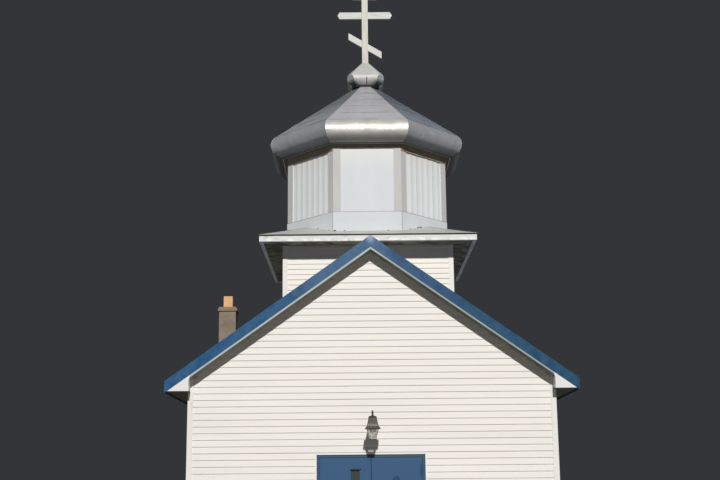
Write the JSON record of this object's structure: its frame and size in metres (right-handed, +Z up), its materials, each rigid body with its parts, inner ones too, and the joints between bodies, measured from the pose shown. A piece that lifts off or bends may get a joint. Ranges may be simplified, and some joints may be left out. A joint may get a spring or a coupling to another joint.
{
  "type": "small chapel",
  "caption": "Small timber chapel: gabled hall with lap siding, square tower base, octagonal drum, sheet-metal dome with a barred cross, side chimney and outward-opening double doors.",
  "frame": {"origin": "middle of the foundation's underside, at ground level", "axes": "+X to the right seen from the front, +Y from the front to the rear, +Z up"},
  "size_m": [7.205, 12.7375, 13.9005],
  "materials": {
    "siding": "painted lap siding, matt",
    "white_trim": "painted trim boards, satin",
    "soffit_white": "painted soffit boards, matt",
    "tower_siding": "painted lap siding, matt",
    "drum_panel": "painted ribbed boards, matt",
    "blue_trim": "blue baked enamel on folded sheet",
    "blue_roofing": "blue baked enamel on ribbed sheet",
    "ridge_metal": "weathered enamel",
    "skirt_roofing": "pale painted sheet",
    "dome_metal": "weathered galvanised sheet",
    "cross_paint": "white paint, satin",
    "concrete": "cast concrete",
    "plank_floor": "varnished planks",
    "chimney_render": "cement render",
    "chimney_cap_stone": "cast concrete",
    "flue_clay": "fired clay",
    "door_blue": "blue enamel, satin",
    "frame_blue": "blue enamel, satin",
    "door_glass": "clear pane",
    "dark_metal": "black enamel",
    "bronze": "weathered bronze enamel",
    "lantern_panes": "seeded panes"
  },
  "bodies": {
    "building": {"foundation": "concrete", "floor": "plank_floor", "front_wall_left": "siding", "front_wall_right": "siding", "front_gable": "siding", "rear_wall": "siding", "left_wall": "siding", "right_wall": "siding", "corner_boards": "white_trim", "roof_left": "blue_roofing", "roof_right": "blue_roofing", "ridge_cap": "ridge_metal", "front_rake_trim": "blue_trim", "rear_rake_trim": "blue_trim", "rake_fascias": "white_trim", "rake_soffits": "soffit_white", "eave_trims": "blue_trim", "eave_soffits": "soffit_white", "eave_returns": "white_trim", "tower_front_wall": "tower_siding", "tower_rear_wall": "tower_siding", "tower_side_walls": "tower_siding", "tower_corner_boards": "white_trim", "skirt_soffit": "soffit_white", "skirt_fascia": "white_trim", "skirt_roof": "skirt_roofing", "drum_walls": "drum_panel", "drum_corner_boards": "white_trim", "drum_base_band": "white_trim", "dome_soffit": "soffit_white", "dome": "dome_metal", "cupola": "dome_metal", "cross_post": "cross_paint", "cross_bars": "cross_paint", "chimney_shaft": "chimney_render", "chimney_cap": "chimney_cap_stone", "chimney_flue": "flue_clay", "door_frame": "frame_blue", "lantern_arm": "bronze", "lantern_frame": "bronze", "lantern_glass": "lantern_panes"},
    "left_leaf": {"left_door": "door_blue", "door_lite": "door_glass", "door_pull": "dark_metal"},
    "right_leaf": {"right_door": "door_blue"}
  },
  "joints": [
    {"name": "left_door_hinge", "type": "hinge", "parent": "building", "child": "left_leaf", "pos_m": [-0.918, -5.9785, 0.223], "axis": [0, 0, -1], "range_deg": [0, 110]},
    {"name": "right_door_hinge", "type": "hinge", "parent": "building", "child": "right_leaf", "pos_m": [0.858, -5.9785, 0.223], "axis": [0, 0, 1], "range_deg": [0, 110]}
  ]
}
